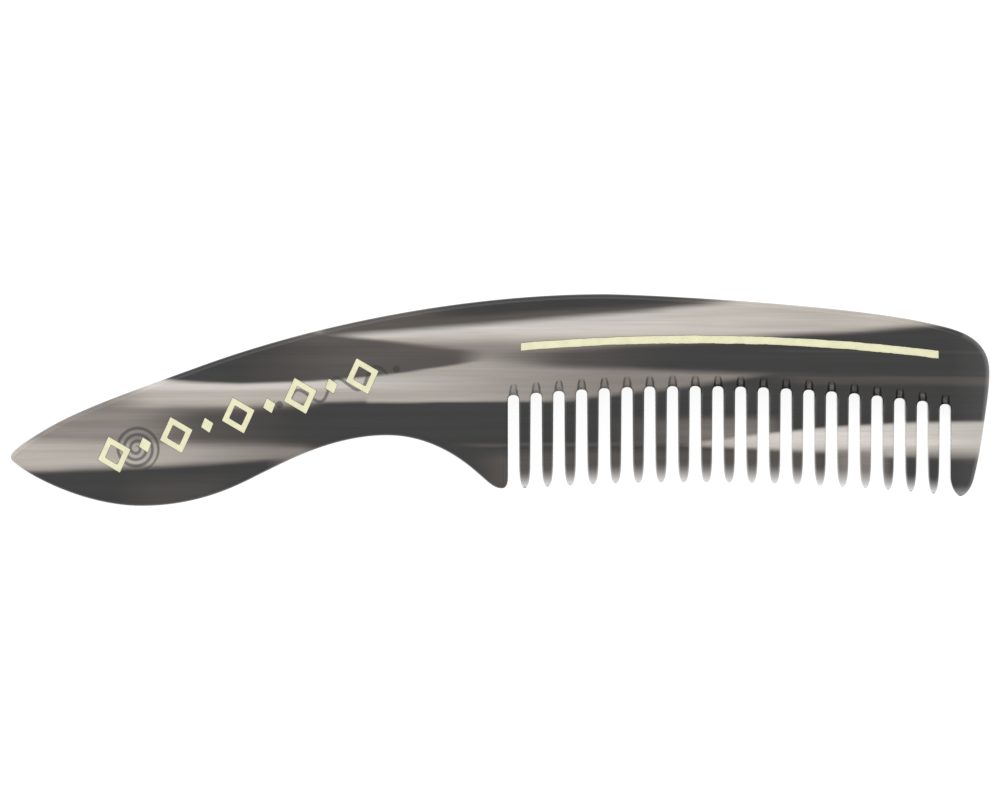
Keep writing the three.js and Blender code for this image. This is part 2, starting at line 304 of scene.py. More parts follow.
def gap_end_y(index):
    """Where the straight sides of a gap turn into its round end."""
    return bow_y(ROOT_BOW, gap_x(index)) - GAP_RADIUS


def end_length(index):
    """How long a tooth's bullet-shaped end is: the last few teeth, by the guard, are the slimmest."""
    return lerp(END_LENGTH, LAST_END_LENGTH, (index / (TEETH - 1)) ** SLIMMING_POWER)


def tooth_side(index, side):
    """One side of a tooth, from just below its root to just above its tip; side is 1 or -1."""
    x = TOOTH_CENTRES[index]
    tip = TOOTH_BOXES[index][0].y
    top = min(gap_end_y(index), gap_end_y(index + 1)) - SIDE_START
    shoulder = tip + end_length(index)
    points = []
    for step in range(SIDE_STEPS):
        share = step / SIDE_STEPS
        across = lerp(ROOT_HALF_WIDTH, END_HALF_WIDTH, share)
        points.append(flat(x + side * across, lerp(top, shoulder, share)))
    for step in range(END_STEPS):
        turn = math.pi / 2 * step / END_STEPS
        across = END_HALF_WIDTH * math.cos(turn) ** (2 / END_POWER)
        down = end_length(index) * math.sin(turn) ** (2 / END_POWER)
        points.append(flat(x + side * across, shoulder - down))
    return points


def guard_sides():
    """The guard tooth's outline from its outer root to its tip, and from its inner root to it."""
    outer = along_curve(SPINE_CURVES[-1][-1], GUARD_SIDE, GUARD_SIDE_STEPS)
    inner = [flat(GUARD_X, point.y) for point in outer[:-1]] + [flat(*GUARD_TIP_IN[-1])]
    tip_out = along_curve(GUARD_SIDE[-1], GUARD_TIP_OUT, END_STEPS)
    tip_in = along_curve(GUARD_TIP_OUT[-1], GUARD_TIP_IN, END_STEPS)
    return outer + tip_out[:-1], inner + tip_in[-2::-1], tip_out[-1]


def comb_outline():
    """The outline's points in turn, and the lines to be drawn across the comb between them.

    A line is two points; where it is a tooth's root, a third point on the spine gives where the
    line from the root's middle goes.
    """
    spine = [flat(*HANDLE_TIP)] + along_curves(HANDLE_TIP, SPINE_CURVES)
    outer, inner, tip = guard_sides()
    points = spine + outer + [tip] + inner[::-1]
    last = len(spine) + 2 * len(outer)
    lines = [(len(spine) + step, last - step) for step in range(len(outer) - BARE_TIP_STEPS)]
    root = (len(spine) - 1,)
    for index in range(TEETH, -1, -1):
        lines.append((len(points), *root))
        points += gap_end(index)
        if index > 0:
            root = (len(points) - 1, nearest_along(spine, TOOTH_CENTRES[index - 1]))
            right = tooth_side(index - 1, 1)
            left = tooth_side(index - 1, -1)
            tip = flat(TOOTH_CENTRES[index - 1], TOOTH_BOXES[index - 1][0].y)
            first = len(points)
            last = first + 2 * len(right)
            points += right + [tip] + left[::-1]
            lines += [(first + step, last - step) for step in range(len(right) - BARE_TIP_STEPS)]
    points.append(flat(*SHOULDER_LOW))
    grip = along_curves(SHOULDER_LOW, GRIP_CURVES)[:-1]
    for x in handle_rungs():
        lines.append((len(points) + nearest_along(grip, x), nearest_along(spine, x)))
    return points + grip, lines


def handle_rungs():
    """Where the lines across the handle are, along the comb."""
    count = round((SHOULDER_LOW[0] - HANDLE_TIP[0]) / HANDLE_RUNG_STEP)
    return [lerp(HANDLE_TIP[0], SHOULDER_LOW[0], step / count) for step in range(1, count)]


def nearest_along(points, x):
    """Which point of a run lies nearest to x."""
    return min(range(len(points)), key=lambda step: abs(points[step].x - x))


# ---------------------------------------------------------------- the comb's body
def tooth_place(x, y):
    """Which tooth or neighbour a point belongs to: its tip's height, its root's height, its kind."""
    if x < SHOULDER_X + PLAY:
        return SHOULDER_LOW[1], bow_y(ROOT_BOW, SHOULDER_X), "shoulder"
    if x > GUARD_X - PLAY:
        return GUARD_TIP_Y, bow_y(ROOT_BOW, GUARD_X), "guard"
    index = min(max(round((x - TOOTH_CENTRES[0]) / PITCH), 0), TEETH - 1)
    return TOOTH_BOXES[index][0].y, bow_y(ROOT_BOW, x), "tooth"


def thickness_share(x, y):
    """The comb's thickness at a point, as a share of the sheet's."""
    tip, root, kind = tooth_place(x, y)
    if kind == "shoulder":
        return 1
    from_tip = y - tip
    reach = root - GAP_RADIUS - tip
    end_share = THIN_END_SHARE if kind == "tooth" else GUARD_END_SHARE
    thinning = clamp01((reach - from_tip) / (reach - END_LENGTH))
    share = 1 - (1 - end_share) * thinning**THINNING_POWER
    if from_tip < END_LENGTH:
        rounding = math.sqrt(1 - (1 - clamp01(from_tip / END_LENGTH)) ** 2)
        share *= max(rounding, TIP_SHARE)
    return share


def rounding_share(x, y):
    """How far the edge is rounded at a point, as a share of EDGE_ROUND."""
    tip, root, kind = tooth_place(x, y)
    along = clamp01((root - y) / (root - tip - END_LENGTH))
    if kind == "tooth":
        end = clamp01(1 - (y - tip) / END_LENGTH)
        return lerp(lerp(TOOTH_ROUND_SHARE, TOOTH_END_ROUND_SHARE, along), TIP_ROUND_SHARE, end)
    if kind == "guard":
        return lerp(TOOTH_ROUND_SHARE, GUARD_ROUND_SHARE, smooth((x - GUARD_X) / ROUND_CHANGE))
    return lerp(TOOTH_ROUND_SHARE, 1, smooth((SHOULDER_X - x) / ROUND_CHANGE))


def body_rounding(point):
    """The edge rounding at a point of the outline: full on the body, less between the teeth."""
    if point.x < SHOULDER_X - ROUND_CHANGE:
        return 1
    from_root = point.y - bow_y(ROOT_BOW, point.x)
    above = smooth((from_root - ROUND_CHANGE_START) / ROUND_CHANGE)
    return lerp(rounding_share(point.x, point.y), 1, above)


def mesh_object(name, bm):
    """A new object with a bmesh's shape; the bmesh is used up."""
    mesh = bpy.data.meshes.new(name)
    bm.to_mesh(mesh)
    bm.free()
    obj = bpy.data.objects.new(name, mesh)
    bpy.context.scene.collection.objects.link(obj)
    return obj


def apply_modifiers(obj):
    """Puts the result of the object's modifiers in its mesh."""
    bpy.context.view_layer.update()
    done = obj.evaluated_get(bpy.context.evaluated_depsgraph_get())
    mesh = bpy.data.meshes.new_from_object(done)
    obj.modifiers.clear()
    old, obj.data = obj.data, mesh
    bpy.data.meshes.remove(old)
    mesh.name = obj.name


def flats_beside(edge):
    """The faces at an edge that lie flat and aren't upright."""
    return [face for face in edge.link_faces if abs(face.normal.z) > 0.5]


def draw_across(one, other):
    """Splits the face that two points share along the line between them."""
    shared = set(one.link_faces) & set(other.link_faces)
    return bmesh.utils.face_split(shared.pop(), one, other)[1].edge


def comb_plate():
    """The outline as a flat face, cut across by many lines and raised to a plate."""
    bm = bmesh.new()
    points, lines = comb_outline()
    verts = [bm.verts.new(point) for point in points]
    bm.faces.new(verts)
    for one, other, *crest in lines:
        line = draw_across(verts[one], verts[other])
        for spine_point in crest:
            middle = bmesh.utils.edge_split(line, verts[one], 0.5)[1]
            draw_across(middle, verts[spine_point])
    raised = bmesh.ops.extrude_face_region(bm, geom=bm.faces[:])["geom"]
    top = [item for item in raised if isinstance(item, bmesh.types.BMVert)]
    bmesh.ops.translate(bm, verts=top, vec=(0, 0, THICKNESS))
    bmesh.ops.recalc_face_normals(bm, faces=bm.faces)
    weights = bm.edges.layers.float.new("bevel_weight_edge")
    for edge in bm.edges:
        if len(flats_beside(edge)) == 1:
            middle = (edge.verts[0].co + edge.verts[1].co) / 2
            edge[weights] = body_rounding(middle)
    return bm


def round_edges(obj):
    """Rounds the comb's edges, each as far as its weight says."""
    bevel = obj.modifiers.new("polished_edges", "BEVEL")
    bevel.limit_method = "WEIGHT"
    bevel.width = EDGE_ROUND
    bevel.segments = EDGE_SEGMENTS
    bevel.profile = 0.5
    bevel.use_clamp_overlap = False
    apply_modifiers(obj)


def thin_teeth(obj):
    """Thins the teeth from both faces towards the middle of the sheet."""
    for vert in obj.data.vertices:
        share = thickness_share(vert.co.x, vert.co.y)
        vert.co.z = MID_PLANE + (vert.co.z - MID_PLANE) * share


def file_cutters():
    """Round file strokes into the end of each gap, on both faces."""
    bm = bmesh.new()
    for index in range(TEETH + 1):
        x = gap_x(index)
        y = bow_y(ROOT_BOW, x) + FILE_REACH
        for side in (1, -1):
            lift = FILE_RADIUS / math.cos(FILE_SLOPE)
            place = Matrix.Translation((x, y, MID_PLANE + side * (MID_PLANE + lift)))
            tilt = Matrix.Rotation(side * FILE_SLOPE - math.radians(90), 4, "X")
            bmesh.ops.create_cone(
                bm,
                cap_ends=True,
                segments=FILE_SIDES,
                radius1=FILE_RADIUS,
                radius2=FILE_RADIUS,
                depth=FILE_LENGTH,
                matrix=place @ tilt,
            )
    return mesh_object("file_strokes", bm)


def cut(obj, cutter):
    """Takes the cutter's volume out of the object, and deletes the cutter."""
    boolean = obj.modifiers.new("cut", "BOOLEAN")
    boolean.operation = "DIFFERENCE"
    boolean.solver = "MANIFOLD"
    boolean.object = cutter
    apply_modifiers(obj)
    mesh = cutter.data
    bpy.data.objects.remove(cutter)
    bpy.data.meshes.remove(mesh)


def finish_piece(obj, nodes, material):
    """Scales a piece to metres, gives it its finish and puts it on the comb."""
    obj.data.transform(Matrix.Scale(MM, 4))
    obj.data.materials.clear()
    obj.data.materials.append(material)
    obj.data.shade_smooth()
    obj.data.set_sharp_from_angle(angle=SHARP_ANGLE)
    weighted = obj.modifiers.new("even_shading", "WEIGHTED_NORMAL")
    weighted.mode = "FACE_AREA"
    weighted.weight = EVEN_SHADING_WEIGHT
    weighted.keep_sharp = True
    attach(obj, "root")
    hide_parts(*nodes)


def backlight_share(x, y):
    """How much painted light a point gets for the light coming through: most near a tooth's tip, and
    a little at its sides.
    """
    tip, root, kind = tooth_place(x, y)
    if kind == "shoulder" or y > root - GAP_RADIUS:
        return 0
    rim = smooth((y - tip) / DARK_RIM)
    if kind == "guard":
        return GUARD_CLEAR * rim * clamp01(1 - (y - tip) / GUARD_CLEAR_TIP) ** GUARD_CLEAR_POWER
    index = round((x - TOOTH_CENTRES[0]) / PITCH)
    at_row_end = abs(2 * index / (TEETH - 1) - 1) ** ROW_END_POWER
    from_middle = abs(x - TOOTH_CENTRES[index]) / END_HALF_WIDTH
    reach = lerp(CLEAR_TIP, CLEAR_TIP_AT_ROW_END, at_row_end)
    reach *= lerp(1, CLEAR_SIDE_REACH, from_middle**2)
    from_tip = (y - tip) / reach
    tip_part = clamp01(1 - from_tip) ** CLEAR_TIP_POWER
    side_part = smooth((from_middle - CLEAR_SIDE_START) / CLEAR_SIDE_SOFT)
    side_part *= lerp(CLEAR_SIDE, CLEAR_SIDE_AT_TIP, clamp01(2 - from_tip))
    return clamp01(tip_part + side_part) * lerp(1, rim, at_row_end)


def store_painted_backlight(obj):
    """Stores, for the material, how much painted light each point gets for the light it lets through.
    """
    clear = obj.data.attributes.new("clear", "FLOAT", "POINT")
    for vert, value in zip(obj.data.vertices, clear.data):
        # A painted highlight on the rounded right end, brightest where it leans halfway over.
        end_rim_highlight = 2 * END_RIM_HIGHLIGHT * clamp01(vert.normal.x) * abs(vert.normal.z)
        if vert.co.x < GUARD_X + GAP_WIDTH:
            end_rim_highlight = 0
        value.value = clamp01(backlight_share(vert.co.x, vert.co.y) + end_rim_highlight)


def make_comb(material):
    """The whole comb, polished, filed and engraved, but without its fills."""
    comb = mesh_object("comb", comb_plate())
    round_edges(comb)
    thin_teeth(comb)
    cut(comb, file_cutters())
    cut(comb, engraving_cutters())
    store_painted_backlight(comb)
    nodes = ["handle_and_spine"] + [tooth_name(index) for index in range(TEETH + 1)]
    finish_piece(comb, nodes, material)


# ---------------------------------------------------------------- engraving and its fills
def bent_band(bm, steps, rows, place):
    """A grid bent to follow place(along, across), both from -1 to 1."""
    made = bmesh.ops.create_grid(bm, x_segments=steps, y_segments=rows, size=1)["verts"]
    for vert in made:
        vert.co = place(vert.co.x, vert.co.y)
    return list({face for vert in made for face in vert.link_faces})


def strayed(hand, x, across):
    """How far the engraver's hand is off its line at a place."""
    return hand["reach"] * noise.noise((x * hand["along"], across * hand["across"], hand["layer"]))


def stripe_place(grow):
    """The cream stripe along the spine, with edges as uneven as a hand engraver's."""
    low, high = node_box_mm("spine_stripe")

    def place(along, across):
        x = lerp(low.x, high.x, (along + 1) / 2) + math.copysign(grow, along) * (abs(along) == 1)
        half = STRIPE_WIDTH / 2 + grow
        strays = strayed(STRIPE_DRIFT, x, across) + strayed(STRIPE_SHAKE, x, across)
        return flat(x, bow_y(STRIPE_BOW, x) + across * half + strays)

    return place


def volute_place(grow):
    """The back's volute, wound inwards from its outer end."""

    def place(along, across):
        share = (along + 1) / 2
        reach = lerp(VOLUTE["outer"], VOLUTE["inner"], share) + across * (LINE_WIDTH / 2 + grow)
        turn = 2 * math.pi * VOLUTE["turns"] * share
        return flat(VOLUTE["x"] + reach * math.cos(turn), VOLUTE["y"] + reach * math.sin(turn))

    return place


def wave_point(along, across):
    """A point on the comb, from where it is along and across the tilted wave."""
    return Matrix.Rotation(WAVE["tilt"], 3, "Z") @ flat(along, across) + flat(WAVE["x"], WAVE["y"])


def wave_place(grow):
    """The back's wave, which keeps its width as it bends."""

    def place(along, across):
        phase = math.pi * WAVE["periods"] * (along + 1)
        slope = WAVE["height"] * math.cos(phase) * 2 * math.pi * WAVE["periods"] / WAVE["length"]
        line = Vector((along * WAVE["length"] / 2, WAVE["height"] * math.sin(phase)))
        side = Vector((-slope, 1)).normalized() * across * (LINE_WIDTH / 2 + grow)
        return wave_point(line.x + side.x, line.y + side.y)

    return place


def dot(bm, name, grow):
    """One of the two dots beside the wave."""
    low, high = node_box_mm(name)
    place = Matrix.Translation(flat((low.x + high.x) / 2, (low.y + high.y) / 2))
    made = bmesh.ops.create_circle(
        bm,
        cap_ends=True,
        segments=DOT_SIDES,
        radius=DOT_RADIUS + grow,
        matrix=place,
    )["verts"]
    return list({face for vert in made for face in vert.link_faces})


def lozenge(bm, name, grow):
    """A lozenge standing on the handle's slanting row; the open ones have a hole."""
    low, high = node_box_mm(name)
    centre = (low + high) / 2
    size = OPEN_LOZENGE if "open" in name else SOLID_LOZENGE
    half_width, half_height = size["half_width"], size["half_height"]
    to_side = half_width * half_height / math.hypot(half_width, half_height)
    scale = 1 + grow / to_side
    place = (
        Matrix.Translation((centre.x, centre.y, 0))
        @ Matrix.Rotation(row_tilt(), 4, "Z")
        @ Matrix.Diagonal((half_width * scale, half_height * scale, 1, 1))
    )
    made = bmesh.ops.create_circle(bm, cap_ends=True, segments=4, radius=1, matrix=place)["verts"]
    faces = list({face for vert in made for face in vert.link_faces})
    if "stroke" in size:
        ring = bmesh.ops.inset_region(
            bm,
            faces=faces,
            thickness=size["stroke"] + 2 * grow,
            use_boundary=True,
            use_even_offset=True,
        )["faces"]
        bmesh.ops.delete(bm, geom=faces, context="FACES_ONLY")
        faces = ring
    return faces


def row_tilt():
    """How far the row of lozenges slants."""
    first = sum(node_box_mm("handle_open_lozenge_1"), Vector()) / 2
    last = sum(node_box_mm("handle_open_lozenge_5"), Vector()) / 2
    return math.atan2(last.y - first.y, last.x - first.x)


def flat_fill(bm, name, grow):
    """The flat shape of one fill, grown by grow. The ends of the volute and the wave don't grow."""
    if name == "spine_stripe":
        return bent_band(bm, STRIPE_STEPS, STRIPE_ROWS, stripe_place(grow))
    if name == "back_volute":
        return bent_band(bm, VOLUTE_STEPS, LINE_ROWS, volute_place(grow))
    if name == "back_wave":
        return bent_band(bm, WAVE_STEPS, LINE_ROWS, wave_place(grow))
    if name.startswith("back_dot"):
        return dot(bm, name, grow)
    return lozenge(bm, name, grow)


def raise_flat(bm, faces, low, high):
    """Makes a plate between two heights from flat faces at height 0."""
    verts = {vert for face in faces for vert in face.verts}
    bmesh.ops.translate(bm, verts=list(verts), vec=(0, 0, low))
    raised = bmesh.ops.extrude_face_region(bm, geom=faces)["geom"]
    top = [item for item in raised if isinstance(item, bmesh.types.BMVert)]
    bmesh.ops.translate(bm, verts=top, vec=(0, 0, high - low))


def round_corners(bm, name):
    """Rounds the upright corners of a lozenge, as the engraver's round bit does."""
    if "lozenge" not in name:
        return
    upright = [edge for edge in bm.edges if abs(edge.verts[0].co.z - edge.verts[1].co.z) > NEAR]
    bmesh.ops.bevel(
        bm,
        geom=upright,
        offset=CORNER_ROUND,
        offset_type="OFFSET",
        segments=3,
        profile=0.5,
        affect="EDGES",
        material=-1,
    )


def engraving_cutters():
    """The volumes of all the recesses, each a little wider than its fill."""
    whole = bmesh.new()
    for name in FRONT_FILLS + BACK_FILLS:
        bm = bmesh.new()
        faces = flat_fill(bm, name, FILL_CLEARANCE)
        if name in FRONT_FILLS:
            raise_flat(bm, faces, THICKNESS - RECESS_DEPTH, THICKNESS + CUT_PAST_FACE)
        else:
            raise_flat(bm, faces, -CUT_PAST_FACE, RECESS_DEPTH)
        round_corners(bm, name)
        bmesh.ops.recalc_face_normals(bm, faces=bm.faces)
        part = bpy.data.meshes.new("recess")
        bm.to_mesh(part)
        bm.free()
        whole.from_mesh(part)
        bpy.data.meshes.remove(part)
    return mesh_object("engraving", whole)


def make_fill(name, piece_name, material):
    """One fill, with a softened rim and a slightly rippled face just below the comb's face."""
    bm = bmesh.new()
    faces = flat_fill(bm, name, 0)
    front = name in FRONT_FILLS
    depth = RECESS_DEPTH - FILL_FLOOR_PLAY
    floor = THICKNESS - depth if front else depth
    face = THICKNESS - FILL_BELOW_FACE if front else FILL_BELOW_FACE
    raise_flat(bm, faces, min(floor, face), max(floor, face))
    round_corners(bm, name)
    bmesh.ops.recalc_face_normals(bm, faces=bm.faces)
    rim = [edge for edge in bm.edges if shows_rim(edge, face)]
    bmesh.ops.bevel(
        bm,
        geom=rim,
        offset=FILL_ROUND,
        offset_type="OFFSET",
        segments=2,
        profile=0.5,
        affect="EDGES",
        material=-1,
    )
    obj = mesh_object(piece_name, bm)
    for vert in obj.data.vertices:
        if abs(vert.co.z - face) < NEAR:
            ripple = noise.noise(vert.co * RIPPLE_SCALE) * FILL_RIPPLE
            vert.co.z += ripple if front else -ripple
    finish_piece(obj, [name], material)


def shows_rim(edge, height):
    """Whether an edge runs round the shown face of a fill."""
    at_face = all(abs(vert.co.z - height) < NEAR for vert in edge.verts)
    return at_face and len(flats_beside(edge)) == 1


def make_fills(cream, dark):
    """Cream enamel in the front's recesses, and dark ink in the back's."""
    for name in FRONT_FILLS:
        make_fill(name, name + "_enamel", cream)
    for name in BACK_FILLS:
        make_fill(name, name + "_ink", dark)


# ---------------------------------------------------------------- materials
class Graph:
    """Short ways to add shader nodes to a node tree and to join them up."""

    def __init__(self, tree):
        self.tree = tree

    def add(self, kind, **settings):
        node = self.tree.nodes.new(kind)
        for name, value in settings.items():
            setattr(node, name, value)
        return node

    def put(self, socket, value):
        if isinstance(value, bpy.types.NodeSocket):
            self.tree.links.new(value, socket)
        else:
            socket.default_value = value

    def length(self, one, other):
        """How long the hypotenuse of two lengths is."""
        squares = self.math("POWER", one, 2), self.math("POWER", other, 2)
        return self.math("SQRT", self.math("ADD", *squares))

    def math(self, operation, *values):
        node = self.add("ShaderNodeMath", operation=operation)
        for socket, value in zip(node.inputs, values):
            self.put(socket, value)
        return node.outputs[0]

    def product(self, first, *others):
        for other in others:
            first = self.math("MULTIPLY", first, other)
        return first

    def ramp(self, value, low, high, to_low=0.0, to_high=1.0):
        """An eased change from to_low to to_high as value goes from low to high."""
        node = self.add("ShaderNodeMapRange", interpolation_type="SMOOTHSTEP")
        for socket, item in zip(node.inputs, (value, low, high, to_low, to_high)):
            self.put(socket, item)
        return node.outputs["Result"]

    def noise(self, vector, scale=1.0, detail=2.0, roughness=0.5):
        node = self.add("ShaderNodeTexNoise")
        self.put(node.inputs["Vector"], vector)
        node.inputs["Scale"].default_value = scale
        node.inputs["Detail"].default_value = detail
        node.inputs["Roughness"].default_value = roughness
        return node.outputs["Fac"]

    def pattern(self, point, stretch=(1, 1, 1), turn=0.0, shift=(0, 0, 0), **settings):
        """A noise that is as fine along each axis as stretch says."""
        return self.noise(self.mapped(point, stretch, turn, shift), **settings)

    def mapped(self, vector, scale=(1, 1, 1), turn=0.0, shift=(0, 0, 0)):
        node = self.add("ShaderNodeMapping")
        self.put(node.inputs["Vector"], vector)
        node.inputs["Location"].default_value = shift
        node.inputs["Rotation"].default_value = (0, 0, turn)
        node.inputs["Scale"].default_value = scale
        return node.outputs["Vector"]

    def mix(self, share, one, other, blend="MIX"):
        node = self.add("ShaderNodeMix", data_type="RGBA", blend_type=blend)
        self.put(node.inputs["Factor"], share)
        self.put(node.inputs["A"], one)
        self.put(node.inputs["B"], other)
        return node.outputs["Result"]

    def bump(self, height, strength, distance, normal=None):
        node = self.add("ShaderNodeBump")
        self.put(node.inputs["Height"], height)
        node.inputs["Strength"].default_value = strength
        node.inputs["Distance"].default_value = distance
        if normal is not None:
            self.put(node.inputs["Normal"], normal)
        return node.outputs["Normal"]


def new_material(name):
    """A bare material: its node maker, its shader and Object coordinates in millimetres."""
    material = bpy.data.materials.new(name)
    material.use_nodes = True
    graph = Graph(material.node_tree)
    shader = material.node_tree.nodes["Principled BSDF"]
    place = graph.add("ShaderNodeTexCoord").outputs["Object"]
    return material, graph, shader, graph.mapped(place, scale=(1 / MM, 1 / MM, 1 / MM))


# The sheet's colours, from the darkest smoke to the palest pearl.
SMOKE = (0.026, 0.025, 0.0245, 1)
UMBER = (0.078, 0.067, 0.06, 1)
TAUPE = (0.235, 0.207, 0.188, 1)
PEARL = (0.5, 0.46, 0.415, 1)
MILK = (0.62, 0.585, 0.545, 1)
# Painted backlight: the colour that thin places get where light would come through the sheet.
PAINTED_BACKLIGHT = (0.93, 0.925, 0.915, 1)
# Painted glint for the middles of the filed grooves.
PAINTED_GLINT = (0.36, 0.32, 0.29, 1)
CREAM = (0.815, 0.79, 0.533, 1)
INK = (0.022, 0.02, 0.019, 1)
# How strongly the back's dark lines show through to the front, and how far up a face has to look.
BACK_SHOWS = 0.68
FACING_UP = (0.5, 0.9)
# How far the streaks waver, how far their fine hairs shift, and how they slant through the sheet.
WAVER = 0.7
HAIR_SHIFT = 0.3
LAYER_SLANT = 0.22
# The acetate's noises. A stretch is how fine each is along, across and through the comb.
WAVERING = {"stretch": (0.06, 0.25, 0.25), "detail": 3}
HAIRS = {"stretch": (0.05, 2.2, 1.1), "detail": 4, "roughness": 0.65}
CLOUDS = {"stretch": (0.03, 0.5, 0.5), "shift": (3, 5, 7), "detail": 3}
THREADS = {"stretch": (0.03, 3.5, 2.5), "shift": (1, 2, 3), "detail": 3, "roughness": 0.65}
SCUFFS = {"scale": 0.8, "detail": 5, "roughness": 0.65}
SMEARS = {"stretch": (0.12, 0.3, 0.3), "detail": 3}
SCRATCHES = {"stretch": (0.25, 9, 9), "turn": 0.06, "roughness": 0.7}
POLISH_WAVES = {"scale": 0.22}
# The middling part of a noise, and the tones and roughnesses that it is turned into. The scratches
# and the scuffs first give the part of their noise that counts.
MIDDLING = (0.3, 0.7)
CLOUD_TONES = (0.88, 1.1)
THREAD_TONES = (0.94, 1.05)
POLISH_ROUGHNESS = (0.13, 0.21)
SCRATCH_ROUGHNESS = (0.6, 0.75, 0, 0.07)
SCUFF_ROUGHNESS = (0.6, 0.8, 0, 0.08)
# Each bump's strength and height, the height in metres.
WAVE_BUMP = (0.25, 0.06 * MM)
SCRATCH_BUMP = (0.3, 0.006 * MM)
SKIN_BUMP = (0.4, 0.03 * MM)
ACETATE_IOR = 1.49
# The enamel's and the ink's noises, and what they do.
PATCHES = {"scale": 0.5, "detail": 4, "roughness": 0.6}
GRAIN = {"scale": 5, "detail": 3, "roughness": 0.6}
PITS = {"scale": 2.4}
SKIN = {"scale": 1.6, "detail": 3}
GRAIN_TONES = (0.97, 1.03)
PIT_SPAN = (0.7, 0.78)
PIT_SHARE = 0.25
SKIN_ROUGHNESS = (-0.07, 0.08)
# Where the shadows of the back's lines fade: off a line's middle, past the volute's rim and in its
# eye, past the wave's ends, and at a dot's rim.
LINE_FADE = (LINE_WIDTH * 0.25, LINE_WIDTH * 0.8)
VOLUTE_RIM = (VOLUTE["outer"] + 0.05, VOLUTE["outer"] + 0.3)
VOLUTE_EYE = (VOLUTE["inner"] - 0.3, VOLUTE["inner"])
WAVE_END = (WAVE["length"] / 2, WAVE["length"] / 2 + 0.2)
DOT_RIM = (DOT_RADIUS * 0.8, DOT_RADIUS * 1.3)


def streak(tone, start, end, soft, bow=(0, 0), fill=1):
    """One streak of the marbling.

    start and end are each a place along the comb, with the streak's top and bottom there. Its top
    and bottom may bow between them. soft is how gradual the top, bottom, start and end are, and
    fill is how much the streak covers what lies below it.
    """
    return {"tone": tone, "lies": (*start, *end, *bow, *soft, fill)}


# The marbling: long soft streaks that lie along the comb, from the lowest layer to the topmost.
STREAKS = [
    # the pearl band at the handle's tip, which thins away to the right
    streak(PEARL, (-90, -6.6, -12.4), (-35, -8.0, -9.7), soft=(2.0, 1.3, 1, 24), fill=0.8),
    # the pearl band over the middle of the handle, whitest along its upper edge
    streak(PEARL, (-67, 9, -1.5), (24, 6.4, 0.0), soft=(1.8, 1.1, 10, 46), fill=0.8),
    streak(MILK, (-65, 3.6, 1.5), (4, 4.2, 2.1), soft=(1.2, 1.8, 7, 34), fill=0.75),
    # the pale field above the stripe, whitest at its left
    streak(PEARL, (-38, 25, 10.3), (80, 25, 11.6), soft=(1, 2.0, 6, 18), bow=(0, -0.9)),
    streak(MILK, (-38, 25, 11.0), (50, 25, 12.6), soft=(1, 2.2, 6, 46), bow=(0, -0.6)),
    # the belly's dark tongue
    streak(SMOKE, (-88, -12.3, -30), (-33, -9.6, -22), soft=(1.1, 1, 1, 7), bow=(-0.5, 0)),
    streak(UMBER, (-66, -14, -30), (-42, -12.4, -24), soft=(2.5, 2, 9, 8), fill=0.35),
    # the dark of the finger notch, the shoulder and the roots of the teeth
    streak(UMBER, (-63, -2.0, -6.8), (-22, -0.5, -8.2), soft=(2.6, 2.0, 14, 1)),
    streak(SMOKE, (-56, -2.2, -6.4), (-22, -0.4, -8.2), soft=(2.0, 2.2, 24, 1)),
    streak(SMOKE, (-34, -0.45, -8.4), (62, 0.15, -70), soft=(0.8, 1.0, 5, 1)),
    streak(SMOKE, (10, 0.0, -30), (60, 7.5, -30), soft=(1.4, 1, 5, 1), bow=(-0.9, 0)),
    streak(SMOKE, (50, 6.0, -30), (95, 7.0, -30), soft=(1, 1, 8, 1)),
    streak(UMBER, (-6, -9.2, -30), (57, -8.4, -30), soft=(2.5, 1, 8, 5), fill=0.85),
    streak(TAUPE, (-10, -7.3, -7.9), (34, -7.3, -7.9), soft=(0.5, 0.5, 8, 4), fill=0.2),
    # the dark field under and beyond the stripe, with a soft nose at its left
    streak(UMBER, (-5, 7.6, 6.1), (95, 13.9, 2.6), soft=(1.7, 1.8, 18, 1)),
    streak(SMOKE, (4, 7.6, 5.8), (95, 13.6, 2.6), soft=(1.2, 1.6, 26, 1)),
    streak(UMBER, (44, 4.0, 2.8), (95, 3.9, 2.4), soft=(0.3, 0.9, 9, 1), fill=0.6),
    streak(UMBER, (40, 8.6, 8.2), (95, 8.0, 7.6), soft=(0.5, 0.5, 9, 1), fill=0.35),
    # the long dark tongue on top of the handle
    streak(UMBER, (-58, 16, 3.7), (-1, 8.1, 7.3), soft=(1, 0.7, 0.5, 7), bow=(-0.8, -2.15)),
    streak(SMOKE, (-60, 16, 3.8), (-24, 9.2, 4.8), soft=(3, 1.1, 1, 22), bow=(-1, -1.5)),
    # the dark along the top of the spine
    streak(UMBER, (-33, 30, 10.4), (47, 30, 17.2), soft=(1, 1.5, 4, 15), bow=(0, -0.3)),
    streak(SMOKE, (-20, 30, 13.0), (37, 30, 16.9), soft=(1, 1.5, 16, 9)),
    # a glow over the middle teeth, then the pale wedge across the right teeth
    streak(TAUPE, (15, -3.5, -7.3), (50, -3.3, -7.5), soft=(2.4, 0.4, 28, 8), fill=0.75),
    streak(PEARL, (29, -8.0, -7.6), (95, -3.9, -12.0), soft=(1, 1.3, 6, 1), bow=(1.6, 0.35)),
    streak(MILK, (36, -7.2, -7.6), (92, -4.2, -8.2), soft=(1, 1.2, 6, 20), bow=(1.3, 0)),
    # the lighter ends of three teeth below it, and the soft dark of the last teeth and the guard
    streak(TAUPE, (55, -8.6, -30), (67, -8.8, -30), soft=(1, 1, 3, 4), fill=0.8),
    streak(SMOKE, (66, -9.3, -30), (95, -9.5, -30), soft=(2.4, 1, 3, 1), fill=0.97),
]
PLACE_SOCKETS = ["X", "Y"]
START_SOCKETS = ["Start X", "Start top", "Start bottom"]
END_SOCKETS = ["End X", "End top", "End bottom"]
BORDER_SOCKETS = ["Top bow", "Bottom bow", "Top soft", "Bottom soft", "Start soft", "End soft"]
